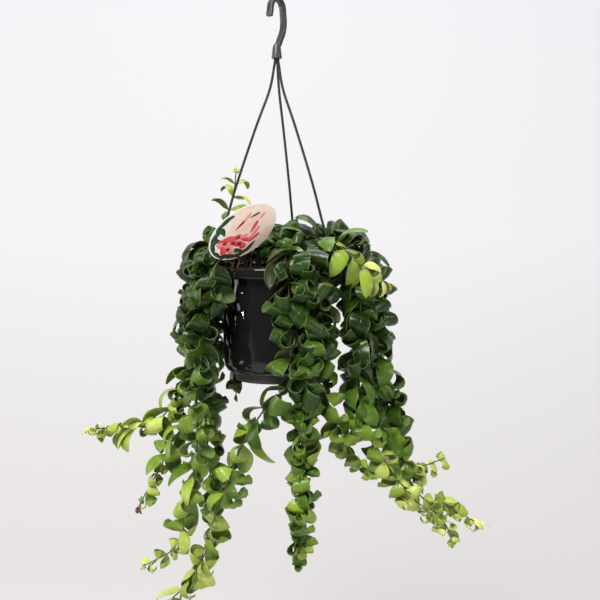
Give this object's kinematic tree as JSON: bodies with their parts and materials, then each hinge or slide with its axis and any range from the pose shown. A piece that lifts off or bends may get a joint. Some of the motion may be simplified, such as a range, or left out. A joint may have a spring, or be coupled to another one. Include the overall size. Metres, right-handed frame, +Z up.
{
  "type": "potted lipstick plant",
  "caption": "Curly-leaved lipstick plant that trails from a glossy hanging pot, with a round label in the soil, a hanger of thin strands and a hook to hang it by.",
  "frame": {"origin": "the hook's seat: the middle of the flat under its crook, which sits on a rail", "axes": "+Z up, +X to the right of the front view, +Y towards the back; the longest trailing stems run down -Z"},
  "size_m": [0.5059, 0.2694, 0.8181],
  "materials": {
    "pot_plastic": "glossy black, injection moulded",
    "soil": "dark crumbly peat",
    "hanger_plastic": "satin dark grey, moulded",
    "strand_plastic": "satin black",
    "label_plastic": "printed, slightly glossy",
    "leafy_stem": "glossy waxy leaf"
  },
  "bodies": {
    "root": {"pot": "pot_plastic", "soil": "soil", "hanger_hook": "hanger_plastic", "hanger_strand_left": "strand_plastic", "hanger_strand_right": "strand_plastic", "hanger_strand_back": "strand_plastic", "plant_label": "label_plastic", "stem_lime_shoot": "leafy_stem", "stem_front_long": "leafy_stem", "stem_front_left": "leafy_stem", "stem_front_right": "leafy_stem", "stem_left_outer": "leafy_stem", "stem_left_front": "leafy_stem", "stem_left_inner": "leafy_stem", "stem_left_long": "leafy_stem", "stem_right_front": "leafy_stem", "stem_right_outer": "leafy_stem", "stem_right_back": "leafy_stem", "stem_right_middle": "leafy_stem", "stem_upright": "leafy_stem", "stem_crown_front": "leafy_stem", "stem_crown_right": "leafy_stem", "stem_crown_middle": "leafy_stem", "stem_crown_back": "leafy_stem", "stem_crown_left": "leafy_stem", "stem_crown_right_back": "leafy_stem", "stem_crown_far": "leafy_stem", "stem_crown_side": "leafy_stem", "stem_left_short": "leafy_stem", "stem_back_right": "leafy_stem", "stem_back_middle": "leafy_stem", "stem_back_long": "leafy_stem", "stem_back_short": "leafy_stem", "stem_back_left": "leafy_stem"}
  },
  "joints": []
}
